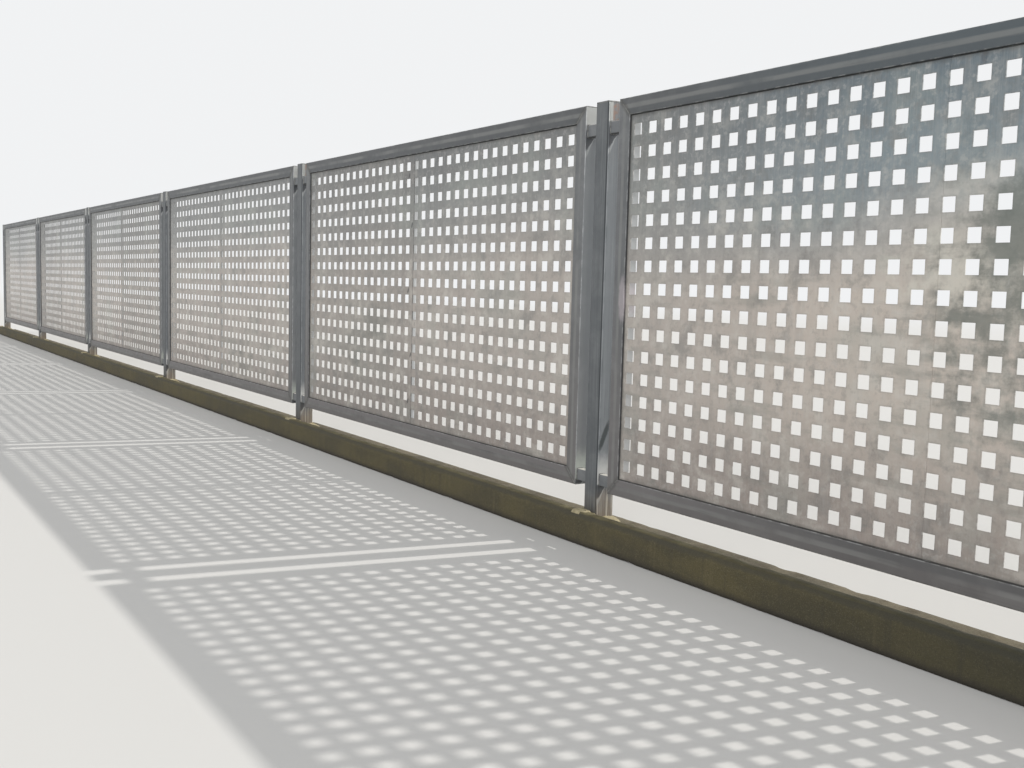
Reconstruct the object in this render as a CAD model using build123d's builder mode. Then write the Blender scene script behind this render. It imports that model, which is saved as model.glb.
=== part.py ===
# Perforated steel fence: six welded panels hung between square posts, which are cast into
# a concrete strip behind a low kerb.
# Millimetres. X runs along the fence, the pavement side faces -Y and +Z is up.
# The origin is at the foot of the middle post, level with the underside of the kerb.
# Bay 1 is at the +X end, and bays and posts are numbered towards -X.
import os

from build123d import *

# The run
bays = 6

# Perforation of the sheets: square holes, at the same pitch both ways
hole_side = 45.0
hole_pitch = 90.0
hole_columns = 33
hole_rows = 16
side_margin = 22.5  # plain sheet between the outer hole columns and the stiles
end_margin = 37.5  # plain sheet between the outer hole rows and the rails

# Sheets: two halves to a bay, butted along the middle column of holes
sheet_thickness = 3.0
sheet_recess = 8.0  # from the front of the frame to the front of the sheet
seam_gap = 1.0
seam_lap = 2.5  # how far the left half covers the middle holes

# Bar behind the seam: bay 1 has none
seam_bar_width = 60.0
seam_bar_thickness = 8.0
bays_without_seam_bar = (1,)

# Panel frame: rectangular tube, mitred at the corners
tube_face = 70.0
tube_depth = 50.0
tube_wall = 3.0
tube_corner = 5.0

# Posts: square tube with a closed foot and a cap
post_side = 90.0
post_wall = 4.0
post_corner = 8.0
post_foot = 6.0
cap_thickness = 4.0

# Lugs: short tubes from the stiles to the posts, two at each side of a panel
post_gap = 67.5
lug_height = 50.0
lug_depth = 30.0
lug_wall = 3.0
lug_corner = 4.0
lug_setback = 10.0  # from the front of the frame
upper_lug_drop = 80.0  # from the top of the panel to the top of the lug
lower_lug_rise = 20.0  # from the bottom of the panel to the bottom of the lug

# Kerb along the pavement side
kerb_width = 60.0
kerb_height = 135.0
kerb_nose = 20.0  # chamfer along the front
kerb_arris = 5.0  # chamfer along the back
kerb_reach = 135.0  # from the middle of the posts to the front of the kerb
ground_gap = 87.0  # from the kerb to the bottom of the panels

# Strip behind the kerb, that the posts are cast into
strip_width = 210.0
strip_height = 80.0

# Dependent sizes
opening_width = (hole_columns - 1) * hole_pitch + hole_side + 2 * side_margin
opening_height = (hole_rows - 1) * hole_pitch + hole_side + 2 * end_margin
panel_width = opening_width + 2 * tube_face
panel_height = opening_height + 2 * tube_face
bay_pitch = panel_width + 2 * post_gap + post_side
run_length = bays * bay_pitch + post_side
panel_bottom = kerb_height + ground_gap
panel_top = panel_bottom + panel_height
panel_middle = (panel_bottom + panel_top) / 2
frame_front = -post_side / 2
frame_middle = frame_front + tube_depth / 2
sheet_front = frame_front + sheet_recess
sheet_back = sheet_front + sheet_thickness
lug_middle = frame_front + lug_setback + lug_depth / 2
upper_lug_middle = panel_top - upper_lug_drop - lug_height / 2
lower_lug_middle = panel_bottom + lower_lug_rise + lug_height / 2
kerb_back = -kerb_reach + kerb_width

# The seam stands just inside the left side of the middle column of holes
middle_column = (hole_columns + 1) // 2
seam_x = -hole_side / 2 + seam_lap


def bay_x(bay):
    """Middle of a bay along the fence."""
    return ((bays + 1) / 2 - bay) * bay_pitch


def post_x(post):
    """Middle of a post along the fence."""
    return (bays / 2 + 1 - post) * bay_pitch


def save(piece, name):
    """Label one finished node and write it."""
    piece.label = name
    export_step(piece, f"parts/{name}.step", write_pcurves=False)


def mitred_tube(length):
    """Frame tube along X with its long face up, and both ends cut at 45 degrees."""
    with BuildPart() as tube:
        with BuildSketch(Plane.YZ):
            RectangleRounded(tube_depth, tube_face, tube_corner)
            RectangleRounded(
                tube_depth - 2 * tube_wall,
                tube_face - 2 * tube_wall,
                tube_corner - tube_wall,
                mode=Mode.SUBTRACT,
            )
        extrude(amount=length / 2, both=True)
        for side in (-1, 1):
            mitre = Plane(origin=(side * length / 2, 0, tube_face / 2), z_dir=(side, 0, -1))
            split(bisect_by=mitre, keep=Keep.BOTTOM)
    return tube.part


def half_sheet(left_edge, right_edge, first_column, last_column):
    """Sheet from edge to edge with whole columns of holes, standing in the frame's opening."""
    columns = last_column - first_column + 1
    columns_middle = ((first_column + last_column) / 2 - middle_column) * hole_pitch
    with BuildPart() as sheet:
        with BuildSketch(Plane.XZ.offset(-sheet_front)):
            with Locations(((left_edge + right_edge) / 2, panel_middle)):
                Rectangle(right_edge - left_edge, opening_height)
            with Locations((columns_middle, panel_middle)):
                with GridLocations(hole_pitch, hole_pitch, columns, hole_rows):
                    Rectangle(hole_side, hole_side, mode=Mode.SUBTRACT)
        extrude(amount=-sheet_thickness)
    return sheet.part


def post_tube():
    """Post with its foot closed by a plate."""
    with BuildPart() as post:
        with BuildSketch():
            RectangleRounded(post_side, post_side, post_corner)
        extrude(amount=panel_top)
        with BuildSketch(Plane.XY.offset(post_foot)):
            RectangleRounded(
                post_side - 2 * post_wall, post_side - 2 * post_wall, post_corner - post_wall
            )
        extrude(amount=panel_top - post_foot, mode=Mode.SUBTRACT)
    return post.part


def lug_row(middle_height):
    """Lugs at one height, one at each side of every panel."""
    with BuildPart() as lugs:
        for bay in range(1, bays + 1):
            for side in (-1, 1):
                face_x = bay_x(bay) + side * panel_width / 2
                with BuildSketch(Plane.YZ.offset(face_x)):
                    with Locations((lug_middle, middle_height)):
                        RectangleRounded(lug_depth, lug_height, lug_corner)
                        RectangleRounded(
                            lug_depth - 2 * lug_wall,
                            lug_height - 2 * lug_wall,
                            lug_corner - lug_wall,
                            mode=Mode.SUBTRACT,
                        )
                extrude(amount=side * post_gap)
    return lugs.part


os.makedirs("parts", exist_ok=True)

# Kerb
with BuildPart() as kerb:
    with BuildSketch(Plane.YZ) as kerb_section:
        with Locations((kerb_back - kerb_width / 2, kerb_height / 2)):
            Rectangle(kerb_width, kerb_height)
        top_corners = kerb_section.vertices().group_by(Axis.Y)[-1].sort_by(Axis.X)
        chamfer(top_corners[0], kerb_nose)
        chamfer(top_corners[-1], kerb_arris)
    extrude(amount=run_length / 2, both=True)
save(kerb.part, "kerb")

# Strip with a pocket for each post
with BuildPart() as strip:
    with BuildSketch(Plane.YZ):
        with Locations((kerb_back + strip_width / 2, strip_height / 2)):
            Rectangle(strip_width, strip_height)
    extrude(amount=run_length / 2, both=True)
    with BuildSketch():
        with GridLocations(bay_pitch, post_side, bays + 1, 1):
            Rectangle(post_side, post_side)
    extrude(amount=strip_height, mode=Mode.SUBTRACT)
save(strip.part, "strip")

# Posts
post = post_tube()
for number in range(1, bays + 2):
    save(post.moved(Location((post_x(number), 0, 0))), f"post_{number}")

with BuildPart() as post_caps:
    with BuildSketch(Plane.XY.offset(panel_top)):
        with GridLocations(bay_pitch, post_side, bays + 1, 1):
            RectangleRounded(post_side, post_side, post_corner)
    extrude(amount=cap_thickness)
save(post_caps.part, "post_caps")

# Lugs
save(lug_row(upper_lug_middle), "upper_lugs")
save(lug_row(lower_lug_middle), "lower_lugs")

# Frames: two rails and two stiles to a bay
rail = mitred_tube(panel_width)
stile = mitred_tube(panel_height)
rail_rise = (panel_height - tube_face) / 2
stile_reach = (panel_width - tube_face) / 2
for bay in range(1, bays + 1):
    top_rail = rail.moved(Location((bay_x(bay), frame_middle, panel_middle + rail_rise)))
    bottom_rail = rail.moved(
        Location((bay_x(bay), frame_middle, panel_middle - rail_rise), (0, 180, 0))
    )
    save(Compound(children=[top_rail, bottom_rail]), f"bay_{bay}_rails")
    right_stile = stile.moved(
        Location((bay_x(bay) + stile_reach, frame_middle, panel_middle), (0, 90, 0))
    )
    left_stile = stile.moved(
        Location((bay_x(bay) - stile_reach, frame_middle, panel_middle), (0, -90, 0))
    )
    save(Compound(children=[left_stile, right_stile]), f"bay_{bay}_stiles")

# Perforated sheets: the right half is cut through the middle column, so its seam edge is notched
left_sheet = half_sheet(
    -opening_width / 2, seam_x - seam_gap / 2, 1, middle_column - 1
)
right_sheet = half_sheet(
    seam_x + seam_gap / 2, opening_width / 2, middle_column, hole_columns
)
for bay in range(1, bays + 1):
    save(left_sheet.moved(Location((bay_x(bay), 0, 0))), f"bay_{bay}_left_sheet")
    save(right_sheet.moved(Location((bay_x(bay), 0, 0))), f"bay_{bay}_right_sheet")

# Flat bars from rail to rail, behind the seams
with BuildPart() as seam_bars:
    for bay in range(1, bays + 1):
        if bay not in bays_without_seam_bar:
            with BuildSketch(Plane.XZ.offset(-sheet_back)):
                with Locations((bay_x(bay) + seam_x, panel_middle)):
                    Rectangle(seam_bar_width, opening_height)
            extrude(amount=-seam_bar_thickness)
save(seam_bars.part, "seam_bars")
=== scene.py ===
# Looks of the perforated steel fence: weathered galvanised steel, weld beads, cast concrete
# and mortar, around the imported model. Metres, +Z up, the pavement side faces -Y.
import math

import bmesh
import bpy
from mathutils import Matrix, Vector, noise


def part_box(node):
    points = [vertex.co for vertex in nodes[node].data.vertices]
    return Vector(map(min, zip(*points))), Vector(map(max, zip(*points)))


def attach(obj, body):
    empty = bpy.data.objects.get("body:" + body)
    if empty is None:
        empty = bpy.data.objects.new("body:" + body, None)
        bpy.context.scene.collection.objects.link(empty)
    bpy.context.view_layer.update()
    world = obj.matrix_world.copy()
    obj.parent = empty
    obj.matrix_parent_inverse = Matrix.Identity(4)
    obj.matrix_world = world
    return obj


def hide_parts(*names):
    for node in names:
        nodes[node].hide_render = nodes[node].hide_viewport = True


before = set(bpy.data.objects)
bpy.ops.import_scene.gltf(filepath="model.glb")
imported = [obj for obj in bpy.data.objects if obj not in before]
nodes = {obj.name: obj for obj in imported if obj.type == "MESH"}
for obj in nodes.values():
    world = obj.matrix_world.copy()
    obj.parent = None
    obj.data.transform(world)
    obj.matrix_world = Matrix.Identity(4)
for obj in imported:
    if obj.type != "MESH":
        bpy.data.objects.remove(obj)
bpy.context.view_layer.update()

# Perforation of the sheets, as built
hole_side = 0.045
hole_pitch = 0.090
hole_rows = 16
end_margin = 0.0375  # plain sheet under the lowest row of holes
lowest_hole_row = end_margin + hole_side / 2

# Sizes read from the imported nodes
bays = sum(name.endswith("_rails") for name in nodes)
post_low, post_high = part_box("post_1")
panel_low, panel_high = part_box("bay_1_rails")
sheet_low, sheet_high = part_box("bay_1_left_sheet")
bar_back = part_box("seam_bars")[1].y
kerb_low, kerb_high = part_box("kerb")
strip_low, strip_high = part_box("strip")
upper_lug_low, upper_lug_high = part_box("upper_lugs")
lower_lug_low, lower_lug_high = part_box("lower_lugs")
lug_back = upper_lug_high.y
post_side = post_high.y - post_low.y
post_top = post_high.z
next_post_low, next_post_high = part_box("post_2")
bay_pitch = ((post_low + post_high) / 2 - (next_post_low + next_post_high) / 2).x
panel_width = panel_high.x - panel_low.x
panel_middle = (panel_low.z + panel_high.z) / 2
frame_front = panel_low.y
packed_back = panel_high.y
tube_deepening = 0.010  # the frame tubes are this much deeper here than as packed
frame_back = packed_back + tube_deepening
frame_middle = (frame_front + frame_back) / 2
tube_depth = frame_back - frame_front
tube_face = sheet_low.z - panel_low.z
opening_width = panel_width - 2 * tube_face
opening_bottom = sheet_low.z
opening_top = sheet_high.z
sheet_front = sheet_low.y
sheet_back = sheet_high.y
first_bay_x = (panel_low.x + panel_high.x) / 2
seam_x = sheet_high.x - first_bay_x

# Details that the nodes' boxes don't give
first_barred_bay = 2  # bay 1 has no seam bar
bar_half_width = 0.030
tube_corner = 0.005
post_corner = 0.008
lug_corner = 0.004
kerb_nose = 0.020
kerb_arris = 0.005
end_setback = 0.0015  # of the cast strip's ends behind the sides of the end posts

# Weld beads: radius of the bead, and how far a bead lies inside the tube's outline
bead_ripple = 0.0045  # from one ripple to the next
bead_sides, steps_a_ripple = 7, 3.0
bead_least, ripple_swell, hand_swell = 0.72, 0.10, 0.50  # parts of the bead's radius
mitre_bead, mitre_sunk = 0.0030, 0.0022
cap_bead, cap_sunk = 0.0027, 0.0017
lug_bead = sheet_bead = bar_bead = 0.0035
sheet_stitch, sheet_stitch_spacing = 0.028, 2 * hole_pitch
bar_stitch, bar_stitch_spacing = 0.022, 4 * hole_pitch

# Cast faces: how far they wander inwards, how much more their arrises chip, their facets round
# the section and their step along it, and the seed of their noise
kerb_cast = {"wander": 0.0030, "chips": 2.6, "facet": 0.014, "step": 0.022, "seed": 11.0}
strip_cast = {"wander": 0.0050, "chips": 2.4, "facet": 0.020, "step": 0.025, "seed": 37.0}
swell_scale, bump_scale, chip_scale = 2.3, 26.0, 9.0
swell_part, bump_part, chip_part = 0.45, 0.35, 1.6
chip_least, chip_spared = 0.25, 0.6  # noise that starts a chip, and what faces are spared of it

# Mortar at the feet of the posts
crust_cell = 0.0055
crust_reach = 0.110  # to each side of a post's middle
crust_front = kerb_low.y + 0.012
crust_back = 0.100
crust_sink = 0.002  # of its underside into the concrete
crust_ragged = (0.012, 30.0), (0.004, 110.0)  # depth and scale of its ragged edges
collar_rise, collar_width = 0.026, 0.030  # round a post
neck_half_width, neck_shift, neck_overlap = 0.036, 0.004, 0.004  # from a post to the kerb
neck_drop, neck_slope = 0.010, 0.45  # under the kerb's top, and down to its sides
spill_rise, spill_width = 0.0035, 0.022  # of the spilled mortar on the kerb's top
spill_slope, spill_fall = 0.30, 0.16  # down to its sides, and to its front
kerb_hollow, strip_hollow = 0.003, 0.004  # how far their wandering faces lie under the mortar

# The photograph's camera: place, heading from +Y towards -X, tilt from straight down, roll,
# lens and sensor in millimetres, and how far it sees
camera_place = (10.388, -2.821, 1.085)
camera_heading = math.radians(57.5037)
camera_tilt = math.radians(84.7558)
camera_roll = math.radians(1.4616)
camera_lens = 38.82
sensor_width = 36.0
camera_range = 500.0

# Light: the sun stands behind the fence, as in the photograph, a soft fill in front of it and
# a weak light along it
sun_travel = (-0.173, -1.066, -1.0)
fill_travel = (-1.0, 0.75, -0.45)
edge_travel = (-1.0, -1.2, -0.5)
sky_strength = 0.55
backdrop_colour = (0.88, 0.89, 0.90, 1.0)
floor_colour = (0.66, 0.66, 0.65, 1.0)
floor_reach = 300.0
floor_drop = 0.0005  # under the fence
fade_start, fade_end = 14.0, 60.0  # of the floor into the backdrop, from the fence's middle

# Marks of wear, and painted light and shade: heights are over the kerb's foot and distances along
# are from a bay's middle.
# A reach is how far an oval mark goes to each side and up.
zinc_metallic = 0.35
seam_spots = (  # on the second bay
    (-0.080, 1.652), (-0.040, 1.382), (-0.073, 1.027), (-0.034, 0.676), (-0.058, 0.417),
)
seam_spot_reach, seam_spot_lean = (0.009, 0.017), 0.4
great_stain_along, great_stain_up = 0.200, 1.050  # on the first bay
great_stain_reach = 0.31, 0.46
halo_along, halo_up = -0.030, 1.130  # washed patch beside the great stain
halo_reach = 0.22, 0.17
dull_halves = ((2, -1), (4, 1), (5, -1))  # bay and side of the half sheets that are duller
top_smudge_along, top_smudge_up = 0.089, 1.748  # on the first bay
top_smudge_reach = 0.012, 0.026
dark_smear_deep, dark_smear_up = -0.016, 0.453  # on the side of the second post
dark_smear_reach, dark_smear_lean = (0.015, 0.072), 0.37
pale_patch_inwards, pale_patch_up = 0.022, 1.030  # on the first bay's left stile
pale_patch_reach = 0.022, 0.100
rust_front, rust_back = -0.023, 0.006  # on the posts' sides, with painted sunlight in front of it
rust_weep = 0.16  # down from the upper lugs
lug_wedge = 0.052  # longest part of the painted shadow under a lug

# Marks that fade over a distance: where they begin to show, and where they are full
seam_line = 0.0125, 0.0045  # either side of the middle of a tube's face
arris_wear = 0.0055, 0.0015  # from a tube's arrises
mitre_smear = 0.024, 0.008  # either side of a mitre
post_arris_wear = 0.034, 0.041  # from the middle of a post
post_edge_dirt = 0.0335, 0.0375  # from the middle of a post's front
hole_grime = 0.006, 0.0005  # from the edge of a hole
hole_burr = 0.0022, 0.0004
frame_grime = 0.018, 0.002  # from the frame onto the sheet
frame_line = 0.0045, 0.0015


def bay_middle(bay):
    """Middle of a bay along the fence. Bay 1 is at the +X end."""
    return first_bay_x - (bay - 1) * bay_pitch


def post_middle(post):
    """Middle of a post along the fence. Post 1 is at the +X end."""
    return first_bay_x + (1.5 - post) * bay_pitch


def linear(red, green, blue):
    """Linear colour of a shade given in 0 to 255."""
    return tuple(
        c / 12.92 if c <= 0.04045 else ((c + 0.055) / 1.055) ** 2.4
        for c in (red / 255, green / 255, blue / 255)
    ) + (1.0,)


def add_node(tree, kind, settings=None, inputs=None):
    """Add a node with its settings first, then the values or links of its sockets."""
    made = tree.nodes.new(kind)
    for name, setting in (settings or {}).items():
        setattr(made, name, setting)
    for key, value in (inputs or {}).items():
        if isinstance(value, bpy.types.NodeSocket):
            tree.links.new(value, made.inputs[key])
        else:
            made.inputs[key].default_value = value
    return made.outputs


class Value:
    """A socket in a finish's tree. Arithmetic on it adds Math nodes."""

    def __init__(self, finish, socket):
        self.finish = finish
        self.socket = socket

    def __add__(self, other):
        return self.finish.math("ADD", self, other)

    __radd__ = __add__

    def __sub__(self, other):
        return self.finish.math("SUBTRACT", self, other)

    def __rsub__(self, other):
        return self.finish.math("SUBTRACT", other, self)

    def __mul__(self, other):
        return self.finish.math("MULTIPLY", self, other)

    __rmul__ = __mul__

    def __truediv__(self, other):
        return self.finish.math("DIVIDE", self, other)

    def __pow__(self, other):
        return self.finish.math("POWER", self, other)

    def __abs__(self):
        return self.finish.math("ABSOLUTE", self)

    def __mod__(self, other):
        return self.finish.math("FLOORED_MODULO", self, other)

    def rise(self, start, end):
        """0 before start and 1 past end, smooth between. start may be past end."""
        return self.finish.node("ShaderNodeMapRange", {"interpolation_type": "SMOOTHSTEP"}, {
            "Value": self, "From Min": start, "From Max": end,
        })


class Finish:
    """A material built from values that vary over the object's own coordinates."""

    def __init__(self, name):
        self.material = bpy.data.materials.new(name)
        self.material.use_nodes = True
        self.tree = self.material.node_tree
        self.tree.nodes.clear()
        self.place = self.node("ShaderNodeTexCoord", output="Object")
        self.x, self.y, self.z = self.axes(self.place)
        facing = self.node("ShaderNodeNewGeometry", output="Normal")
        self.facing_x, self.facing_y, self.facing_z = self.axes(facing)
        self.colour = None

    def node(self, kind, settings=None, inputs=None, output=0):
        """Add a node to the tree and give one of its outputs."""
        given = {k: getattr(v, "socket", v) for k, v in (inputs or {}).items()}
        outputs = add_node(self.tree, kind, settings, given)
        return Value(self, outputs[output]) if outputs else None

    def axes(self, vector):
        """The three parts of a vector."""
        split = self.node("ShaderNodeSeparateXYZ", {}, {0: vector})
        return [Value(self, part) for part in split.socket.node.outputs]

    def math(self, operation, *values):
        return self.node("ShaderNodeMath", {"operation": operation}, dict(enumerate(values)))

    def least(self, result, *others):
        for other in others:
            result = self.math("MINIMUM", result, other)
        return result

    def most(self, result, *others):
        for other in others:
            result = self.math("MAXIMUM", result, other)
        return result

    def patch(self, across, up, reach_across, reach_up, ragged=0.5, noise_scale=30.0):
        """1 inside an oval of that reach about 0, falling away over its ragged edge."""
        from_middle = ((across / reach_across) ** 2.0 + (up / reach_up) ** 2.0) ** 0.5
        rough = self.rough(noise_scale, 2.0 * ragged, detail=5)
        return (from_middle + rough).rise(1.15, 0.55)

    def rough(self, scale, depth, detail=4):
        """Noise about zero, an offset that makes an edge ragged."""
        return (self.cloud(scale, detail=detail) - 0.5) * depth

    def stretched(self, scale, shift=(0, 0, 0)):
        """The place, scaled and shifted."""
        return self.node("ShaderNodeMapping", {}, {
            "Vector": self.place, "Scale": scale, "Location": shift,
        })

    def cloud(self, scale, detail=3.0, roughness=0.55, place=None, warp=0.0):
        """Noise from 0 to 1 around a half."""
        return self.node("ShaderNodeTexNoise", {}, {
            "Vector": place or self.place, "Scale": scale, "Detail": detail,
            "Roughness": roughness, "Distortion": warp,
        })

    def streaks(self, scale, shift=(0, 0, 0), **settings):
        """Noise drawn out along the axes of the smaller scales."""
        return self.cloud(1.0, place=self.stretched(scale, shift), **settings)

    def cells(self, scale, place=None, output="Color"):
        """Voronoi cells: one random number a cell, or a distance."""
        found = self.node("ShaderNodeTexVoronoi", {"feature": "F1"}, {
            "Vector": place or self.place, "Scale": scale,
        }, output)
        if output == "Color":
            return self.node("ShaderNodeSeparateColor", {}, {0: found})
        return found

    def mix(self, share, first, second):
        """Colour between two shades, each a value or three numbers in 0 to 255."""
        first, second = (linear(*s) if isinstance(s, tuple) else s for s in (first, second))
        return self.node("ShaderNodeMix", {"data_type": "RGBA", "blend_type": "MIX"}, {
            0: share, 6: first, 7: second,
        }, output=2)

    def coat(self, share, shade):
        """Lay a shade over the colour so far."""
        self.colour = self.mix(share, self.colour, shade)

    def bay_local(self):
        """Distance along the fence from the middle of the bay."""
        return (self.x % bay_pitch) - bay_pitch / 2

    def post_local(self):
        """Distance along the fence from the middle of the nearest post."""
        return ((self.x + bay_pitch / 2) % bay_pitch) - bay_pitch / 2

    def first_bay(self):
        """1 towards the outer end of the first bay, falling to 0 at the second post."""
        return self.x.rise(post_middle(2), first_bay_x)

    def far_bays(self):
        """0 up to the second post, rising to 1 at the fourth."""
        return self.x.rise(post_middle(2), post_middle(4))

    def lug_bounce_light(self):
        """1 just above the lower lugs, falling away upwards: the reach of painted light bounced up
        from their tops.
        """
        top = lower_lug_high.z
        rough = self.rough(45.0, 0.040)
        bloom = (self.z + rough).rise(top + 0.110, top + 0.005)
        return bloom * self.z.rise(lower_lug_low.z, lower_lug_low.z + 0.010)

    def lug_shadows(self, share):
        """Painted shadows under the lugs, widest towards the front, each with a painted sunlit rim
        below.
        """
        reach = self.y.rise(lug_back + 0.010, frame_front) * lug_wedge
        rough = self.rough(60.0, 0.016)
        for low in (upper_lug_low.z, lower_lug_low.z):
            fall = (low - self.z + rough) / (reach + 0.003)
            here = self.z.rise(low + 0.045, low + 0.020)
            # Painted sunlit rim below the painted shadow
            rim = fall.rise(1.00, 1.15) * fall.rise(1.70, 1.30)
            self.coat(rim * here * share * 0.50, (182, 184, 182))
            # Painted shadow of the lug
            wedge = fall.rise(1.12, 0.88) * here
            self.coat(wedge * share, (50, 52, 56))

    def stile_flank(self, flank, offset):
        """Painted sunlight and shade on the sides of the stiles that face the posts, and the first
        bay's pale patch.
        """
        # Painted sunlight on the side, and painted shade on its back part
        self.coat(flank * 0.45, (146, 150, 152))
        rear = flank * self.y.rise(frame_front + 0.008, frame_middle + 0.008)
        self.coat(rear * 0.45, (90, 95, 99))
        # Painted sunlight above the upper lugs
        above = self.z.rise(upper_lug_high.z - 0.004, upper_lug_high.z + 0.004)
        self.coat(flank * above * 0.70, (190, 191, 188))
        # Painted shadows under the lugs, and painted light bounced up from the lower lugs
        self.lug_shadows(flank * 0.75)
        self.coat(flank * self.lug_bounce_light() * 0.55, (188, 194, 184))
        first_left = self.x.rise(first_bay_x - 0.1, first_bay_x - 0.2)
        first_left = first_left * self.x.rise(post_middle(2), post_middle(2) + post_side)
        pale = self.patch(offset + pale_patch_inwards, self.z - pale_patch_up,
                          *pale_patch_reach, 0.35, 24.0)
        self.coat(pale * first_left * 0.65, (178, 170, 174))

    def finish(self, roughness, metallic, height):
        """Close the tree. height is in metres."""
        bump = self.node("ShaderNodeBump", {}, {"Strength": 1.0, "Distance": 1.0, "Height": height})
        shader = self.node("ShaderNodeBsdfPrincipled", {}, {
            "Base Color": self.colour, "Roughness": roughness, "Metallic": metallic,
            "Normal": bump,
        })
        self.node("ShaderNodeOutputMaterial", {}, {"Surface": shader})
        return self.material


def weathered_zinc(look, base, pale, dark, spangle_scale=75.0):
    """Colour, roughness and height of old hot-dip zinc, before a piece's own marks."""
    drift = look.cloud(1.7, detail=4)
    patches = look.cloud(9.0, detail=7, roughness=0.65, warp=0.4)
    spangle = look.cells(spangle_scale, look.stretched((1, 1, 0.8)))
    grain = look.cloud(420.0, detail=2)
    look.colour = look.mix(patches.rise(0.44, 0.66) * 0.60, base, pale)
    look.coat(patches.rise(0.46, 0.30) * 0.45, dark)
    look.coat(drift.rise(0.52, 0.30) * 0.45, dark)
    look.coat((spangle - 0.5) * 0.16 + 0.08, pale)
    look.coat(grain.rise(0.45, 0.2) * 0.22, dark)
    roughness = 0.50 + (patches - 0.5) * 0.30 + (spangle - 0.5) * 0.10
    height = spangle * 0.00004 + grain * 0.00005 + patches * 0.00012
    return roughness, height


def tube_steel(name, along):
    """Frame tubes: a pale seam line along the middle of each face, darker smears at the mitres."""
    look = Finish(name)
    rails = along == "x"
    across_bay = abs(look.bay_local())
    over_middle = look.z - panel_middle
    up = abs(over_middle)
    half_height = panel_high.z - panel_middle
    if rails:
        shades = (98, 100, 102), (124, 126, 126), (76, 79, 82)
        far_share, shade_share, painted_sun_share = 0.14, 0.35, 0.30
        offset = up - (half_height - tube_face / 2)
        inwards = look.facing_z * look.math("SIGN", over_middle) * -1.0
        run = (3.0, 40.0, 90.0)
    else:
        shades = (108, 110, 112), (131, 133, 134), (88, 91, 94)
        far_share, shade_share, painted_sun_share = 0.34, 0.10, 0.60
        offset = across_bay - (panel_width - tube_face) / 2
        inwards = look.facing_x * look.math("SIGN", look.bay_local()) * -1.0
        run = (90.0, 40.0, 3.0)
    roughness, height = weathered_zinc(look, *shades)
    smear = look.streaks(run, detail=5, warp=0.4)
    # Warm near the ground, with dust and a painted reflection of the ground
    low = look.z.rise(1.30, 0.25)
    look.coat(low * 0.45, (120, 113, 110))
    # Painted shade over the far bays
    look.coat(look.far_bays() * far_share, (66, 68, 71))
    # Darker towards the top of the rails
    upper = look.z.rise(1.20, 1.75)
    if rails:
        look.coat(upper * 0.45, (82, 84, 86))
    # Painted reflection of the sky, bluish, at the top of the first bay
    look.coat(upper * look.first_bay() * 0.60, (86, 97, 103))
    # Painted shade on the half of the face next to the sheet, but on the lower rails that half is
    # dusty
    look.coat(offset.rise(0.004, -0.014) * shade_share, (80, 84, 87))
    if rails:
        dusty = low * (1.0 - look.first_bay())
        inner = offset.rise(-0.004, -0.012) * 0.55 + offset.rise(0.004, 0.012) * 0.20
        look.coat(inner * dusty, (134, 130, 130))
    # Pale line along the middle of the face, smeared where the tube's own weld was dressed
    line = abs(offset + (smear - 0.5) * 0.012).rise(*seam_line)
    line = line * look.streaks((4.0, 9.0, 4.0), detail=4).rise(0.30, 0.55)
    look.coat(line * 0.50, (140, 141, 139))
    # Runs of dirt along the tube
    look.coat(smear.rise(0.56, 0.76) * 0.35, (76, 78, 79))
    # Bright worn arrises
    side = abs(look.y - frame_middle)
    edge = look.most(tube_face / 2 - abs(offset), tube_depth / 2 - side).rise(*arris_wear)
    wear = edge * look.cloud(28.0, detail=4).rise(0.42, 0.62)
    look.coat(wear * 0.55, (168, 170, 170))
    # Dull smear along each mitre
    mitre = abs(across_bay - panel_width / 2 - up + half_height)
    zinc_paint = (mitre + look.rough(45.0, 0.030)).rise(*mitre_smear)
    look.coat(zinc_paint * 0.50, (88, 88, 84))
    # Dust on what faces up, painted shade on what faces down, and painted shade in the recess in
    # front of the sheet
    dust = look.facing_z.rise(0.5, 0.9) * look.cloud(14.0, detail=5).rise(0.30, 0.62)
    look.coat(dust * 0.45, (138, 130, 112))
    look.coat(look.facing_z.rise(-0.5, -0.9) * 0.45, (70, 70, 66))
    facing_in = inwards.rise(0.6, 0.9)
    corner = facing_in * look.y.rise(sheet_front + 0.003, sheet_front)
    look.coat(corner * 0.80, (50, 51, 52))
    # Painted sunlight on the faces behind the sheet
    behind = facing_in * look.y.rise(sheet_back - 0.001, sheet_back + 0.001)
    look.coat(behind * painted_sun_share, (186, 188, 188))
    if not rails:
        look.stile_flank(inwards.rise(-0.6, -0.9), offset)
    roughness = roughness + dust * 0.25 + zinc_paint * 0.10 - wear * 0.12 + corner * 0.3
    height = height + line * 0.00025 + zinc_paint * 0.00015
    return look.finish(roughness, zinc_metallic, height)


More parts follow.
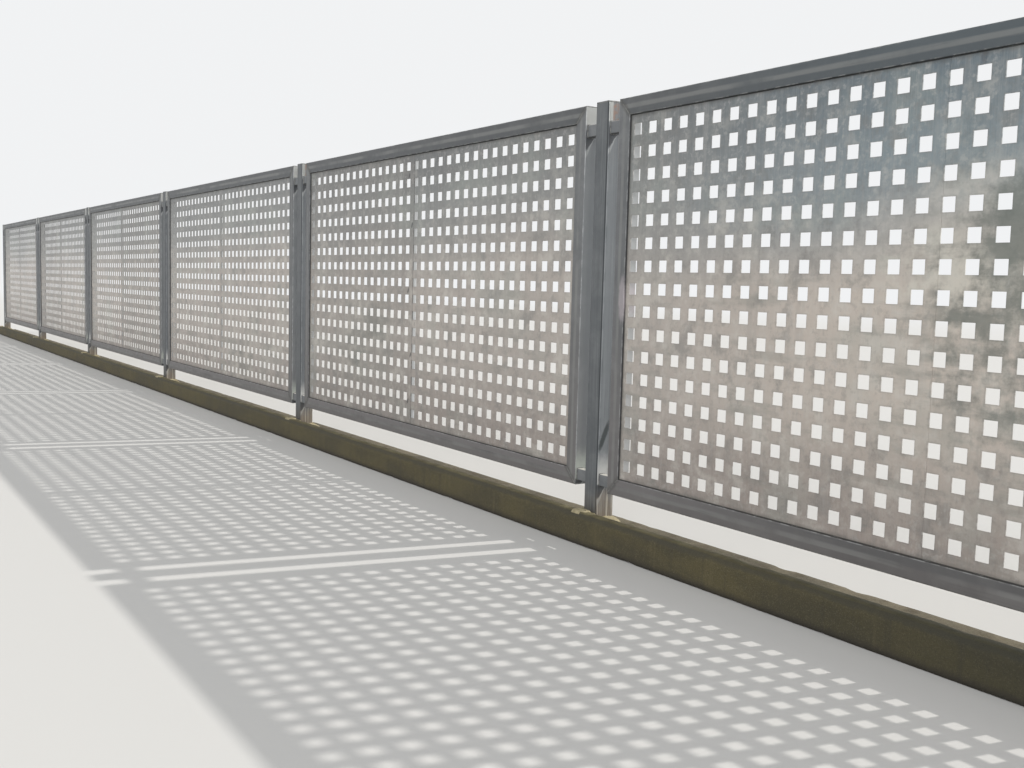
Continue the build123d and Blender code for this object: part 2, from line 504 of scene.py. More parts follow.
def post_steel():
    """Posts: neutral grey with long runs of rain and bright arrises."""
    look = Finish("post_steel")
    roughness, height = weathered_zinc(look, (94, 98, 101), (118, 121, 123), (76, 80, 83))
    # Painted sunlight on the sides, and painted shade on their back part
    flank = abs(look.facing_x).rise(0.5, 0.9)
    look.coat(flank * 0.45, (138, 142, 145))
    rear = flank * look.y.rise(frame_front + 0.010, frame_front + 0.040)
    look.coat(rear * 0.30, (94, 98, 101))
    streak = look.streaks((130.0, 130.0, 2.2), detail=4)
    look.coat(streak.rise(0.50, 0.72) * 0.40, (138, 141, 142))
    look.coat(streak.rise(0.44, 0.28) * 0.40, (72, 75, 77))
    # Painted shade over the far bays
    look.coat(look.far_bays() * 0.30, (66, 69, 72))
    # Bright worn arrises, but not on the front
    wear = look.least(abs(look.post_local()), abs(look.y)).rise(*post_arris_wear)
    wear = wear * look.cloud(18.0, detail=4).rise(0.38, 0.60)
    wear = wear * look.facing_y.rise(-0.75, -0.45)
    look.coat(wear * 0.45, (156, 159, 160))
    # A dark line along one edge of the front
    front = look.facing_y.rise(-0.65, -0.85)
    edge = front * (look.post_local() + (streak - 0.5) * 0.003).rise(*post_edge_dirt)
    look.coat(edge * 0.85, (52, 56, 59))
    # Splashed soil and lime at the foot
    splash = (look.z + look.rough(20.0, 0.22, detail=5)).rise(0.27, 0.11)
    splash = splash * (flank * 0.7 + 0.3)
    look.coat(splash * 0.75, (124, 110, 92))
    lime = (look.z + (streak - 0.5) * 0.20).rise(0.26, 0.20) * streak.rise(0.50, 0.66)
    look.coat(lime * (flank * 0.7 + 0.1), (186, 180, 168))
    # Painted sunlight on the sides above the upper lugs, rust behind it, and rust weeping down to
    # the lugs and below
    above = flank * look.z.rise(upper_lug_high.z - 0.004, upper_lug_high.z + 0.004)
    sunlit_above_lugs = above * (look.y + (streak - 0.5) * 0.03).rise(rust_front + 0.005, rust_front - 0.003)
    look.coat(sunlit_above_lugs * 0.75, (172, 173, 169))
    rust = above * look.y.rise(rust_front - 0.005, rust_front + 0.005)
    rust = rust * look.y.rise(rust_back + 0.006, rust_back - 0.006)
    rust = rust * look.cloud(34.0, detail=5).rise(0.36, 0.58)
    look.coat(rust * 0.65, (140, 106, 84))
    below = look.z.rise(upper_lug_low.z - rust_weep, upper_lug_low.z)
    below = below * look.z.rise(upper_lug_low.z + 0.012, upper_lug_low.z)
    look.coat(below * streak.rise(0.54, 0.70) * flank * 0.4, (112, 92, 74))
    # Painted shadows under the lugs, and painted light bounced up from the lower lugs
    look.lug_shadows(flank * 0.75)
    look.coat(flank * look.lug_bounce_light() * 0.60, (206, 205, 202))
    # A dark diagonal smear, sunk a little, on the side of the second post
    second = look.facing_x.rise(0.5, 0.9)
    second = second * abs(look.x - post_middle(2)).rise(2 * post_side, post_side)
    slant = look.y - dark_smear_deep - (look.z - dark_smear_up) * dark_smear_lean
    dark_smear = second * look.patch(slant, look.z - dark_smear_up, *dark_smear_reach, 0.25, 60.0)
    look.coat(dark_smear * 0.90, (54, 60, 60))
    roughness = roughness + splash * 0.25 - sunlit_above_lugs * 0.10
    height = height + streak * 0.00006 - dark_smear * 0.0004
    return look.finish(roughness, zinc_metallic, height)


def bar_steel():
    """Seam bars: pale on the front, behind the sheets, and dull on the back."""
    look = Finish("bar_steel")
    roughness, height = weathered_zinc(
        look, (196, 198, 198), (216, 217, 216), (164, 167, 169)
    )
    streak = look.streaks((90.0, 90.0, 3.0), detail=4)
    look.coat(streak.rise(0.52, 0.72) * 0.4, (150, 150, 148))
    # Duller on the back
    weathered = look.facing_y.rise(0.5, 0.9)
    look.coat(weathered * 0.70, (132, 134, 134))
    seam = look.facing_y.rise(-0.5, -0.9)
    seam = seam * abs(look.bay_local() - seam_x).rise(0.003, 0.0015)
    look.coat(seam * 0.8, (58, 58, 60))
    return look.finish(roughness, zinc_metallic, height)


def lug_steel():
    """Lugs: paler, less weathered zinc than the frames."""
    look = Finish("lug_steel")
    roughness, height = weathered_zinc(
        look, (113, 116, 119), (138, 140, 141), (88, 90, 93)
    )
    # Painted sunlight on the tops, and painted shade on the undersides
    top = look.facing_z.rise(0.5, 0.9)
    look.coat(top * 0.85, (224, 221, 212))
    under = look.facing_z.rise(-0.5, -0.9)
    look.coat(under * 0.50, (70, 70, 70))
    return look.finish(roughness, zinc_metallic, height)


def sheet_steel():
    """Perforated sheets: a painted sky reflection at the top, warm below with dust and a painted
    ground reflection, clouded and stained.
    """
    look = Finish("sheet_steel")
    along = look.bay_local()
    up = look.z - opening_bottom
    tall = opening_top - opening_bottom
    # Painted reflection of the sky at the top, bluer on the first bay and darkest at the very top;
    # warm middle with dust and a painted reflection of the ground; splashed bottom
    drift = look.cloud(0.9, detail=3)
    level = up / tall + (drift - 0.5) * 0.35
    first = look.first_bay()
    base = look.mix(first, (179, 171, 164), (199, 189, 179))
    sky_reflection = look.mix(first, (141, 142, 141), (132, 144, 150))
    look.colour = look.mix(level.rise(0.50, 0.82), base, sky_reflection)
    dark_sky_reflection = look.mix(first, (106, 109, 111), (94, 108, 117))
    look.coat(level.rise(0.80, 1.02) * 0.85, dark_sky_reflection)
    look.coat(level.rise(0.28, -0.02) * 0.85, (154, 144, 138))
    for bay, side in dull_halves:
        dull = ((look.x - bay_middle(bay) - seam_x) * side).rise(-0.0005, 0.0005)
        dull = dull * abs(look.x - bay_middle(bay)).rise(bay_pitch * 0.50, bay_pitch * 0.49)
        look.coat(dull * 0.35, (121, 117, 113))
    # Clouded patina at two sizes, with a greenish cast in places
    broad = look.cloud(2.4, detail=5)
    look.coat(broad.rise(0.50, 0.68) * 0.32, (157, 165, 158))
    mottle = look.cloud(8.0, detail=9, roughness=0.66)
    dusty = 0.50 - level.rise(0.62, 0.92) * 0.32
    look.coat(mottle.rise(0.51, 0.66) * dusty, (206, 202, 194))
    look.coat(mottle.rise(0.48, 0.34) * 0.50, (122, 122, 120))
    fine = look.cloud(42.0, detail=6, roughness=0.60)
    look.coat(fine.rise(0.52, 0.66) * 0.22, (206, 203, 198))
    look.coat(fine.rise(0.46, 0.34) * 0.22, (116, 115, 113))
    # Rolling grain and spangle
    rolled = look.streaks((260.0, 260.0, 5.0), detail=3)
    look.coat(rolled.rise(0.42, 0.62) * 0.12, (178, 175, 171))
    spangle = look.cells(95.0, look.stretched((1, 1, 0.7)))
    look.coat((spangle - 0.4) * 0.14, (196, 194, 190))
    # Broad washed streaks
    wash = look.streaks((16.0, 16.0, 1.6), detail=5, warp=0.3)
    look.coat(wash.rise(0.54, 0.70) * 0.16, (196, 192, 186))
    look.coat(wash.rise(0.44, 0.30) * 0.16, (126, 124, 122))
    # Wiped bands, nearly level
    wiped = look.streaks((3.2, 3.2, 15.0), detail=6, roughness=0.62)
    low = level.rise(0.80, 0.50)
    look.coat(low * wiped.rise(0.52, 0.66) * 0.30, (132, 134, 128))
    # Distance to the nearest hole's edge, and the way down from it
    hole_x = ((along + hole_pitch / 2) % hole_pitch) - hole_pitch / 2
    hole_z = ((up - lowest_hole_row + hole_pitch / 2) % hole_pitch) - hole_pitch / 2
    gap = look.most(abs(hole_x), abs(hole_z)) - hole_side / 2
    ragged = gap + look.rough(120.0, 0.004, detail=3)
    look.coat(ragged.rise(*hole_grime) * 0.30, (120, 118, 114))
    burr = gap.rise(*hole_burr) * look.cloud(60.0).rise(0.45, 0.60)
    look.coat(burr * 0.45, (200, 198, 194))
    # Faint runs of rain under the holes
    under = (-1.0 * hole_z).rise(hole_side / 2 - 0.002, hole_side / 2 + 0.004)
    narrow = abs(hole_x).rise(hole_side / 2 + 0.002, hole_side / 2 - 0.010)
    trickle = look.streaks((60.0, 60.0, 6.0), (3, 1, 7), detail=3)
    runs = under * narrow * trickle.rise(0.50, 0.72)
    look.coat(runs * 0.22, (122, 119, 114))
    # Stains: large ones here and there, and the great one of the first bay
    region = look.cloud(0.75, detail=4, roughness=0.6).rise(0.56, 0.70)
    great_x = look.x - (first_bay_x + great_stain_along)
    great_z = look.z - great_stain_up
    great = look.patch(great_x, great_z, *great_stain_reach, 0.6, 5.0)
    stained = look.most(region * 0.5, great)
    blotch = look.cloud(6.5, detail=8, roughness=0.60) * 0.50 + wiped * 0.25
    blotch = blotch + look.cloud(19.0, detail=8, roughness=0.65) * 0.25
    outwards = great_x.rise(-0.10, 0.12) * great * 0.05
    dirt = (blotch + outwards).rise(0.44, 0.58)
    look.coat(stained * dirt * 0.68, (101, 109, 104))
    halo = look.patch(look.x - (first_bay_x + halo_along), look.z - halo_up,
                      *halo_reach, 0.7, 8.0)
    washed = look.most(halo, region * 0.4) * blotch.rise(0.56, 0.44)
    look.coat(washed * 0.50, (212, 211, 200))
    # Spots beside the second bay's seam, and a smudge at the top of the first bay
    for spot_along, spot_up in seam_spots:
        over = look.z - spot_up
        spot = look.patch(look.x - (bay_middle(2) + spot_along) - over * seam_spot_lean, over,
                          *seam_spot_reach, 0.35, 90.0)
        look.coat(spot * 0.75, (66, 68, 70))
    smudge = look.patch(look.x - (first_bay_x + top_smudge_along), look.z - top_smudge_up,
                        *top_smudge_reach, 0.5, 50.0)
    look.coat(smudge * 0.55, (84, 90, 96))
    # Grime in the seam and along the frame, and a painted shade line where the sheet meets the
    # frame
    seam = (abs(along - seam_x) + look.rough(30.0, 0.004, detail=3)).rise(0.005, 0.001)
    seam = seam * look.x.rise(post_middle(2) + 0.1, post_middle(2))
    look.coat(seam * 0.45, (92, 90, 90))
    border = look.least(opening_width / 2 - abs(along), up, tall - up)
    grime = (border + look.rough(35.0, 0.02)).rise(*frame_grime)
    look.coat(grime * 0.40, (104, 102, 98))
    # Painted shade line at the edge of the sheet, in the frame's recess
    look.coat(border.rise(*frame_line) * 0.85, (54, 54, 54))
    roughness = 0.48 + (mottle - 0.5) * 0.35 + grime * 0.2 + (spangle - 0.5) * 0.08
    wave = look.streaks((2.6, 2.6, 3.4), detail=1)
    height = wave * 0.004 + rolled * 0.00003 + spangle * 0.00002 + burr * 0.0001
    return look.finish(roughness, 0.40, height)


def weld_steel():
    """Weld beads under cold zinc spray."""
    look = Finish("weld_steel")
    patches = look.cloud(60.0, detail=4)
    look.colour = look.mix(patches.rise(0.35, 0.65), (92, 93, 92), (134, 134, 132))
    rusty = look.cloud(24.0, detail=4).rise(0.62, 0.74)
    look.coat(rusty * 0.5, (118, 92, 72))
    return look.finish(0.5 + patches * 0.2, 0.3, patches * 0.0002)


def kerb_concrete():
    """Kerb: ochre-stained cast concrete, with painted shade along the nose, over the first bay and
    where it meets the pavement.
    """
    look = Finish("kerb_concrete")
    stain = look.streaks((2.4, 4.0, 6.0), detail=5, warp=0.5)
    look.colour = look.mix(stain.rise(0.35, 0.65), (70, 65, 46), (86, 79, 53))
    drips = look.streaks((34.0, 10.0, 2.6), detail=4)
    look.coat(drips.rise(0.52, 0.72) * 0.40, (62, 58, 47))
    look.coat(drips.rise(0.42, 0.26) * 0.25, (110, 101, 74))
    speckle = look.cells(420.0)
    look.coat(speckle.rise(0.80, 0.95) * 0.35, (124, 116, 96))
    look.coat(speckle.rise(0.16, 0.05) * 0.40, (46, 43, 36))
    # Painted shade on the nose; the top dusty and pale
    ragged = look.z + look.rough(22.0, 0.020, detail=5)
    nose = ragged.rise(kerb_high.z - kerb_nose - 0.006, kerb_high.z - kerb_nose + 0.006)
    look.coat(nose * 0.65, (62, 60, 50))
    top = look.facing_z.rise(0.80, 0.97)
    soil = look.cloud(11.0, detail=6, roughness=0.65).rise(0.40, 0.60)
    look.coat(top, look.mix(soil, (110, 103, 74), (88, 81, 55)))
    moss = top * look.cloud(16.0, detail=6, roughness=0.7, warp=0.4).rise(0.56, 0.66)
    look.coat(moss * 0.65, (82, 84, 44))
    # Painted shade over the first bay, most of all on the top, and darker still towards the bay's
    # outer end
    first_bay_shade = look.x.rise(post_middle(2) + post_side, first_bay_x)
    look.coat(first_bay_shade * top * 0.55, (44, 44, 26))
    first_bay_shade = look.x.rise(first_bay_x - 0.9, first_bay_x + 0.7)
    look.coat(first_bay_shade * 0.60, (38, 40, 33))
    # Painted shade where the kerb meets the pavement
    foot = ragged.rise(0.034, 0.006)
    look.coat(foot * 0.70, (46, 42, 37))
    pits = look.cells(130.0, output="Distance")
    rough = look.cloud(75.0, detail=8, roughness=0.7)
    height = rough * 0.0022 + pits.rise(0.12, 0.30) * 0.0012 + speckle * 0.0002
    return look.finish(0.82 + (stain - 0.5) * 0.2, 0.0, height)


def strip_concrete():
    """Strip behind the kerb: trowelled grey-brown concrete with soil and moss on it."""
    look = Finish("strip_concrete")
    stain = look.cloud(4.0, detail=6, roughness=0.6)
    look.colour = look.mix(stain.rise(0.36, 0.64), (84, 78, 62), (110, 102, 82))
    speckle = look.cells(330.0)
    look.coat(speckle.rise(0.78, 0.95) * 0.40, (136, 129, 110))
    look.coat(speckle.rise(0.18, 0.05) * 0.40, (56, 52, 43))
    soil = look.cloud(9.0, detail=7, roughness=0.68, warp=0.3).rise(0.50, 0.62)
    look.coat(soil * 0.60, (76, 66, 46))
    moss = look.cloud(13.0, detail=6, roughness=0.7, warp=0.5).rise(0.58, 0.68)
    look.coat(moss * 0.50, (76, 80, 42))
    foot = (look.z + (stain - 0.5) * 0.03).rise(0.028, 0.004)
    look.coat(foot * 0.5, (74, 67, 54))
    rough = look.cloud(60.0, detail=8, roughness=0.7)
    return look.finish(0.86, 0.0, rough * 0.003 + soil * 0.002 + speckle * 0.0003)


def mortar():
    """Pale sandy mortar round the feet of the posts."""
    look = Finish("mortar")
    stain = look.cloud(26.0, detail=5)
    look.colour = look.mix(stain.rise(0.35, 0.65), (146, 136, 108), (178, 168, 138))
    speckle = look.cells(500.0)
    look.coat(speckle.rise(0.85, 0.97) * 0.5, (112, 100, 76))
    rough = look.cloud(180.0, detail=6, roughness=0.65)
    return look.finish(0.9, 0.0, rough * 0.0016)


def deepen_tube(name, material):
    """Frame tubes of a node with their backs moved out, tied in its place."""
    mesh = nodes[name].data.copy()
    # The corner normals ride along as an attribute while the loose triangles are joined
    given = mesh.attributes.new("given_normal", "FLOAT_VECTOR", "CORNER")
    normals = [0.0] * (3 * len(mesh.loops))
    mesh.corner_normals.foreach_get("vector", normals)
    given.data.foreach_set("vector", normals)
    tubes = bmesh.new()
    tubes.from_mesh(mesh)
    bmesh.ops.remove_doubles(tubes, verts=tubes.verts, dist=1e-6)
    for corner in tubes.verts:
        if corner.co.y > (frame_front + packed_back) / 2:
            corner.co.y += tube_deepening
    tubes.to_mesh(mesh)
    tubes.free()
    mesh.normals_split_custom_set([n.vector[:] for n in mesh.attributes["given_normal"].data])
    mesh.attributes.remove(mesh.attributes["given_normal"])
    mesh.materials.clear()
    mesh.materials.append(material)
    piece(name + "_deep", mesh, (name,))


def dress(material, names):
    """Give CAD nodes their finish."""
    for name in names:
        for slot in nodes[name].material_slots:
            slot.material = material


def piece(name, mesh, replaced=()):
    """Link a finished mesh at the origin and tie it to the fence."""
    made = bpy.data.objects.new(name, mesh)
    bpy.context.scene.collection.objects.link(made)
    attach(made, "root")
    for node in replaced:
        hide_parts(node)


def bead_tree():
    """Geometry Nodes that lay a rippled weld bead along the edges of a mesh."""
    tree = bpy.data.node_groups.new("weld_bead", "GeometryNodeTree")
    inputs = {"Seams": "Geometry", "Radius": "Float", "Ripple": "Float", "Steel": "Material"}
    for name, kind in inputs.items():
        tree.interface.new_socket(name, in_out="INPUT", socket_type="NodeSocket" + kind)
    tree.interface.new_socket("Beads", in_out="OUTPUT", socket_type="NodeSocketGeometry")

    def add(kind, settings=None, inputs=None):
        return add_node(tree, kind, settings, inputs)

    def maths(operation, *values):
        return add("ShaderNodeMath", {"operation": operation}, dict(enumerate(values)))[0]

    given = add("NodeGroupInput")
    paths = add("GeometryNodeMeshToCurve", {}, {0: given["Seams"]})[0]
    paths = add("GeometryNodeResampleCurve", {"mode": "LENGTH"}, {
        "Curve": paths, "Length": maths("DIVIDE", given["Ripple"], steps_a_ripple),
    })[0]
    # The bead swells a little at each ripple, and more as the welder's hand wandered
    length = add("GeometryNodeSplineParameter")["Length"]
    turns = maths("DIVIDE", length, given["Ripple"])
    wave = maths("SINE", maths("MULTIPLY", turns, math.tau))
    hand = add("ShaderNodeTexNoise", {}, {"Scale": 38.0, "Detail": 2.0})[0]
    swell = maths("MULTIPLY_ADD", wave, ripple_swell, bead_least)
    swell = maths("MULTIPLY_ADD", hand, hand_swell, swell)
    profile = add("GeometryNodeCurvePrimitiveCircle", {}, {
        "Resolution": bead_sides, "Radius": given["Radius"],
    })["Curve"]
    beads = add("GeometryNodeCurveToMesh", {}, {
        "Curve": paths, "Profile Curve": profile, "Scale": swell, "Fill Caps": True,
    })[0]
    beads = add("GeometryNodeSetShadeSmooth", {}, {0: beads})[0]
    beads = add("GeometryNodeRealizeInstances", {}, {0: beads})[0]
    beads = add("GeometryNodeSetMaterial", {}, {"Geometry": beads, "Material": given["Steel"]})[0]
    add("NodeGroupOutput", {}, {0: beads})
    return tree


def lay_beads(name, paths, radius, tree, steel):
    """Weld beads along paths, each a list of points and whether it closes."""
    points = []
    edges = []
    for path, closed in paths:
        start = len(points)
        points.extend(path)
        edges.extend((start + i, start + i + 1) for i in range(len(path) - 1))
        if closed:
            edges.append((start + len(path) - 1, start))
    seams = bpy.data.meshes.new(name + "_seams")
    seams.from_pydata(points, edges, [])
    carrier = bpy.data.objects.new(name + "_carrier", seams)
    bpy.context.scene.collection.objects.link(carrier)
    modifier = carrier.modifiers.new("beads", "NODES")
    modifier.node_group = tree
    values = {"Radius": radius, "Ripple": bead_ripple, "Steel": steel}
    for item in tree.interface.items_tree:
        if item.name in values:
            modifier[item.identifier] = values[item.name]
    evaluated = carrier.evaluated_get(bpy.context.evaluated_depsgraph_get())
    mesh = bpy.data.meshes.new_from_object(evaluated)
    mesh.name = name
    bpy.data.objects.remove(carrier)
    bpy.data.meshes.remove(seams)
    piece(name, mesh)


def rounded_loop(width, height, corner):
    """Points of a rounded rectangle about the origin."""
    steps = 3  # to a corner
    points = []
    for quarter, (sign_x, sign_y) in enumerate(((1, 1), (-1, 1), (-1, -1), (1, -1))):
        for step in range(steps + 1):
            turn = math.radians(90) * (quarter + step / steps)
            points.append((
                sign_x * (width / 2 - corner) + corner * math.cos(turn),
                sign_y * (height / 2 - corner) + corner * math.sin(turn),
            ))
    return points


def mitre_paths():
    """Seams round the four mitred corners of each panel frame."""
    loop = rounded_loop(
        tube_face - 2 * mitre_sunk, tube_depth - 2 * mitre_sunk, tube_corner - mitre_sunk
    )
    reach_x = (panel_width - tube_face) / 2
    reach_z = panel_high.z - panel_middle - tube_face / 2
    return [
        ([
            (
                bay_middle(bay) + side * (reach_x + across),
                frame_middle + deep,
                panel_middle + end * (reach_z + across),
            )
            for across, deep in loop
        ], True)
        for bay in range(1, bays + 1) for side in (-1, 1) for end in (-1, 1)
    ]


def lug_paths():
    """Seams round both ends of each lug."""
    paths = []
    for low, high in ((upper_lug_low, upper_lug_high), (lower_lug_low, lower_lug_high)):
        loop = rounded_loop(high.y - low.y, high.z - low.z, lug_corner)
        middle_y = (low.y + high.y) / 2
        middle_z = (low.z + high.z) / 2
        for bay in range(1, bays + 1):
            for side in (-1, 1):
                for reach in (panel_width / 2, (bay_pitch - post_side) / 2):
                    x = bay_middle(bay) + side * reach
                    paths.append(([(x, middle_y + a, middle_z + b) for a, b in loop], True))
    return paths


def cap_paths():
    """Seams between the caps and the posts."""
    side = post_side - 2 * cap_sunk
    loop = rounded_loop(side, side, post_corner - cap_sunk)
    return [
        ([(post_middle(post) + a, b, post_top) for a, b in loop], True)
        for post in range(1, bays + 2)
    ]


def stitch(start, end, length, spacing):
    """Short straight seams spaced evenly from start to end."""
    start, end = Vector(start), Vector(end)
    way = end - start
    count = max(1, round(way.length / spacing))
    half = way.normalized() * length / 2
    middles = [start + way * (i + 0.5) / count for i in range(count)]
    return [([tuple(m - half), tuple(m + half)], False) for m in middles]


def sheet_paths():
    """Stitch welds between the back of the sheets and the frame."""
    paths = []
    for bay in range(1, bays + 1):
        low_left, high_left, low_right, high_right = (
            (bay_middle(bay) + side * opening_width / 2, sheet_back, z)
            for side in (-1, 1) for z in (opening_bottom, opening_top)
        )
        for start, end in ((low_left, high_left), (low_right, high_right),
                           (low_left, low_right), (high_left, high_right)):
            paths += stitch(start, end, sheet_stitch, sheet_stitch_spacing)
    return paths


def bar_paths():
    """Welds across the ends of the seam bars, and stitches along their edges."""
    lowest = opening_bottom + lowest_hole_row - hole_pitch / 2
    highest = lowest + hole_rows * hole_pitch
    paths = []
    for bay in range(first_barred_bay, bays + 1):
        left = bay_middle(bay) + seam_x - bar_half_width
        right = bay_middle(bay) + seam_x + bar_half_width
        for z in (opening_bottom, opening_top):
            paths.append(([(left, bar_back, z), (right, bar_back, z)], False))
        for x in (left, right):
            paths += stitch((x, sheet_back, lowest), (x, sheet_back, highest),
                            bar_stitch, bar_stitch_spacing)
    return paths


def cast_block(node, corners, low, high, material, wander, chips, facet, step, seed):
    """Rough cast solid in place of a plain node: a closed section swept along X."""
    section = divided(corners, facet, chips)
    count = round((high - low) / step)
    mesh = bmesh.new()
    rings = []
    for i in range(count + 1):
        x = low + (high - low) * i / count
        rings.append([
            mesh.verts.new(cast_point(x, y, z, inward, wander, seed)) for y, z, inward in section
        ])
    size = len(section)
    for first, second in zip(rings, rings[1:]):
        for i in range(size):
            j = (i + 1) % size
            mesh.faces.new((first[i], first[j], second[j], second[i]))
    mesh.faces.new(rings[0])
    mesh.faces.new(rings[-1])
    bmesh.ops.recalc_face_normals(mesh, faces=mesh.faces)
    for face in mesh.faces:
        face.smooth = len(face.verts) == 4
    result = bpy.data.meshes.new(node + "_cast")
    mesh.to_mesh(result)
    mesh.free()
    result.materials.append(material)
    piece(node + "_cast", result, (node,))


def divided(corners, facet, chips):
    """Points about a facet apart round a closed section, each with its inward direction.

    The direction is longer at the corners, as much as their arrises chip more.
    """
    centre = Vector((sum(c[0] for c in corners), sum(c[1] for c in corners))) / len(corners)
    points = []
    for i, start in enumerate(corners):
        start = Vector(start)
        end = Vector(corners[(i + 1) % len(corners)])
        count = max(1, round((end - start).length / facet))
        for k in range(count):
            place = start.lerp(end, k / count)
            depth = chips if k == 0 else 1.0
            points.append((place.x, place.y, (centre - place).normalized() * depth))
    return points


def cast_point(x, y, z, inward, wander, seed):
    """A point of cast concrete, moved inwards by up to about its wander."""
    place = Vector((x, y, z))
    swell = 0.5 + 0.5 * noise.noise(place * swell_scale + Vector((seed, 0, 0)))
    bumps = 0.5 + 0.5 * noise.noise(place * bump_scale + Vector((0, seed, 0)))
    chip = max(0.0, noise.noise(place * chip_scale + Vector((0, 0, seed))) - chip_least)
    chipped = chip_part * chip * (inward.length - chip_spared)
    amount = wander * (swell_part * swell + bump_part * bumps + chipped)
    move = inward.normalized() * max(0.0, amount)
    return (x, y + move.x, max(z + move.y, 0.0))


def make_kerb(material):
    """Rough cast kerb with a chamfer along its front and back."""
    front, back, top = kerb_low.y, kerb_high.y, kerb_high.z
    corners = [
        (front, 0.0), (front, top - kerb_nose), (front + kerb_nose, top),
        (back - kerb_arris, top), (back, top - kerb_arris), (back, 0.0),
    ]
    cast_block("kerb", corners, kerb_low.x, kerb_high.x, material, **kerb_cast)


def make_strip(material):
    """Rough cast strip, a little short of the end posts' sides."""
    front, back, top = strip_low.y, strip_high.y, strip_high.z
    corners = [(front, 0.0), (front, top), (back, top), (back, 0.0)]
    cast_block("strip", corners, strip_low.x + end_setback, strip_high.x - end_setback,
               material, **strip_cast)


def mortar_height(across, y, seed):
    """Top of the mortar round a post's foot, by place from the post's middle."""
    ragged = sum(
        depth * noise.noise(Vector((across * scale, y * scale, seed)))
        for depth, scale in crust_ragged
    )
    outside = max(abs(across), abs(y)) - post_side / 2 + ragged
    top = strip_high.z + collar_rise * max(-1.0, 1.0 - outside / collar_width)
    # Between the kerb and the post the mortar fills the gap and spills over the kerb
    reach = abs(across - neck_shift) - neck_half_width + 2.0 * ragged
    if y < -post_side / 2 + neck_overlap:
        top = max(top, kerb_high.z - neck_drop - neck_slope * max(0.0, reach))
    if kerb_low.y + kerb_nose * 0.6 < y < kerb_high.y + neck_overlap:
        spill = kerb_high.z + spill_rise - spill_slope * max(-0.004, reach + 0.010)
        spill -= spill_fall * max(0.0, kerb_high.y - spill_width - y + 2.0 * ragged)
        top = max(top, spill)
    return top


def ground_height(y):
    """Top of the concrete under the mortar."""
    if y > kerb_high.y:
        return strip_high.z - strip_hollow
    if y > kerb_low.y + kerb_nose:
        return kerb_high.z - kerb_hollow
    return kerb_high.z - (kerb_low.y + kerb_nose - y) - kerb_hollow


def make_mortar(material):
    """Mortar at the foot of every post, as closed crusts."""
    columns = round(2 * crust_reach / crust_cell)
    rows = round((crust_back - crust_front) / crust_cell)
    crust = bmesh.new()
    for post in range(1, bays + 2):
        middle = post_middle(post)
        grid = {}
        for i in range(columns + 1):
            for j in range(rows + 1):
                across = -crust_reach + i * crust_cell
                y = crust_front + j * crust_cell
                inside = abs(middle + across) <= kerb_high.x
                top = mortar_height(across, y, 5.0 * post)
                bottom = ground_height(y) - crust_sink
                if inside and top > ground_height(y):
                    grid[i, j] = (crust.verts.new((middle + across, y, top)),
                                  crust.verts.new((middle + across, y, bottom)))
        close_crust(crust, grid, columns, rows)
    bmesh.ops.recalc_face_normals(crust, faces=crust.faces)
    loose = [v for v in crust.verts if not v.link_faces]
    bmesh.ops.delete(crust, geom=loose, context="VERTS")
    for face in crust.faces:
        face.smooth = True
    mesh = bpy.data.meshes.new("mortar_feet")
    crust.to_mesh(mesh)
    crust.free()
    mesh.materials.append(material)
    piece("mortar_feet", mesh)


def close_crust(crust, grid, columns, rows):
    """Top, bottom and side faces over the cells of a grid whose corners are all there."""
    cells = {
        (i, j) for i in range(columns) for j in range(rows)
        if all(k in grid for k in ((i, j), (i + 1, j), (i + 1, j + 1), (i, j + 1)))
    }
    for i, j in cells:
        ring = ((i, j), (i + 1, j), (i + 1, j + 1), (i, j + 1))
        crust.faces.new([grid[k][0] for k in ring])
        crust.faces.new([grid[k][1] for k in reversed(ring)])
        beside = ((i, j - 1), (i + 1, j), (i, j + 1), (i - 1, j))
        for edge, neighbour in enumerate(beside):
            if neighbour not in cells:
                a, b = ring[edge], ring[(edge + 1) % 4]
                crust.faces.new((grid[a][0], grid[a][1], grid[b][1], grid[b][0]))


def make_sun(name, travel, strength, spread, colour=(1.0, 1.0, 1.0)):
    """Lamp far away, with its spread in degrees."""
    lamp = bpy.data.lights.new(name, "SUN")
    lamp.energy = strength
    lamp.angle = math.radians(spread)
    lamp.color = colour
    sun = bpy.data.objects.new(name, lamp)
    sun.rotation_euler = Vector(travel).to_track_quat("-Z", "Y").to_euler()
    bpy.context.scene.collection.objects.link(sun)


def make_world():
    """Even neutral sky, and the pale backdrop where the camera or a reflection sees it."""
    world = bpy.data.worlds.new("studio")
    world.use_nodes = True
    tree = world.node_tree
    tree.nodes.clear()
    rays = add_node(tree, "ShaderNodeLightPath")
    seen = rays["Is Camera Ray"]
    for kind in ("Is Glossy Ray", "Is Transmission Ray"):
        seen = add_node(tree, "ShaderNodeMath", {"operation": "MAXIMUM"}, {
            0: seen, 1: rays[kind],
        })[0]
    ambient = add_node(tree, "ShaderNodeBackground", {}, {
        "Color": (1.0, 1.0, 1.0, 1.0), "Strength": sky_strength,
    })[0]
    backdrop = add_node(tree, "ShaderNodeBackground", {}, {
        "Color": backdrop_colour, "Strength": 1.0,
    })[0]
    sky = add_node(tree, "ShaderNodeMixShader", {}, {0: seen, 1: ambient, 2: backdrop})[0]
    add_node(tree, "ShaderNodeOutputWorld", {}, {"Surface": sky})
    bpy.context.scene.world = world


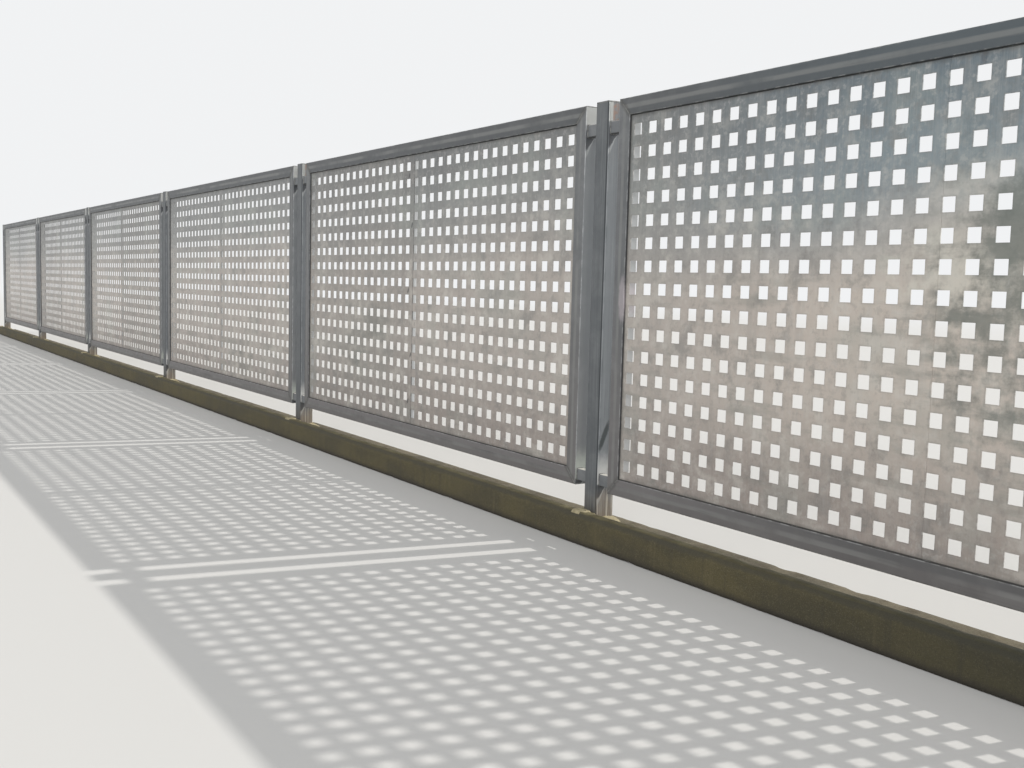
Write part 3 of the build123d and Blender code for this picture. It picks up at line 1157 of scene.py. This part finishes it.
def make_floor():
    """Pale floor that fades into the backdrop far away."""
    corners = [(x * floor_reach, y * floor_reach, -floor_drop)
               for x, y in ((-1, -1), (1, -1), (1, 1), (-1, 1))]
    mesh = bpy.data.meshes.new("floor")
    mesh.from_pydata(corners, [], [(0, 1, 2, 3)])
    look = Finish("floor")
    away = look.node("ShaderNodeVectorMath", {"operation": "LENGTH"}, {0: look.place}, "Value")
    paint = look.node("ShaderNodeBsdfDiffuse", {}, {"Color": floor_colour})
    glow = look.node("ShaderNodeEmission", {}, {"Color": backdrop_colour, "Strength": 1.0})
    fade = look.node("ShaderNodeMixShader", {}, {
        0: away.rise(fade_start, fade_end), 1: paint, 2: glow,
    })
    look.node("ShaderNodeOutputMaterial", {}, {"Surface": fade})
    mesh.materials.append(look.material)
    floor = bpy.data.objects.new("floor", mesh)
    bpy.context.scene.collection.objects.link(floor)


def make_camera():
    """Camera at the photograph's viewing angle."""
    lens = bpy.data.cameras.new("camera")
    lens.lens = camera_lens
    lens.sensor_width = sensor_width
    lens.clip_end = camera_range
    camera = bpy.data.objects.new("camera", lens)
    turn = (
        Matrix.Rotation(camera_heading, 4, "Z")
        @ Matrix.Rotation(camera_tilt, 4, "X")
        @ Matrix.Rotation(camera_roll, 4, "Z")
    )
    camera.matrix_world = Matrix.Translation(camera_place) @ turn
    bpy.context.scene.collection.objects.link(camera)
    bpy.context.scene.camera = camera


make_camera()

# Steel: the frames' tubes are made deeper, and the other nodes get their finish
rail_steel = tube_steel("rail_steel", "x")
stile_steel = tube_steel("stile_steel", "z")
for bay in range(1, bays + 1):
    deepen_tube(f"bay_{bay}_rails", rail_steel)
    deepen_tube(f"bay_{bay}_stiles", stile_steel)
dress(sheet_steel(), [n for n in nodes if n.endswith("_sheet")])
dress(post_steel(), [n for n in nodes if n.startswith("post_")])
dress(lug_steel(), ["upper_lugs", "lower_lugs"])
dress(bar_steel(), ["seam_bars"])

# Welds
bead = bead_tree()
weld = weld_steel()
for name, paths, radius in (
    ("mitre_welds", mitre_paths(), mitre_bead),
    ("lug_welds", lug_paths(), lug_bead),
    ("cap_welds", cap_paths(), cap_bead),
    ("sheet_welds", sheet_paths(), sheet_bead),
    ("bar_welds", bar_paths(), bar_bead),
):
    lay_beads(name, paths, radius, bead, weld)

# Concrete and mortar
make_kerb(kerb_concrete())
make_strip(strip_concrete())
make_mortar(mortar())

# Stage
make_floor()
make_world()
make_sun("sun", sun_travel, strength=2.0, spread=0.8, colour=(1.0, 0.96, 0.90))
make_sun("fill", fill_travel, strength=1.5, spread=30.0)
make_sun("edge", edge_travel, strength=0.8, spread=50.0)
bpy.context.scene.view_settings.view_transform = "Standard"
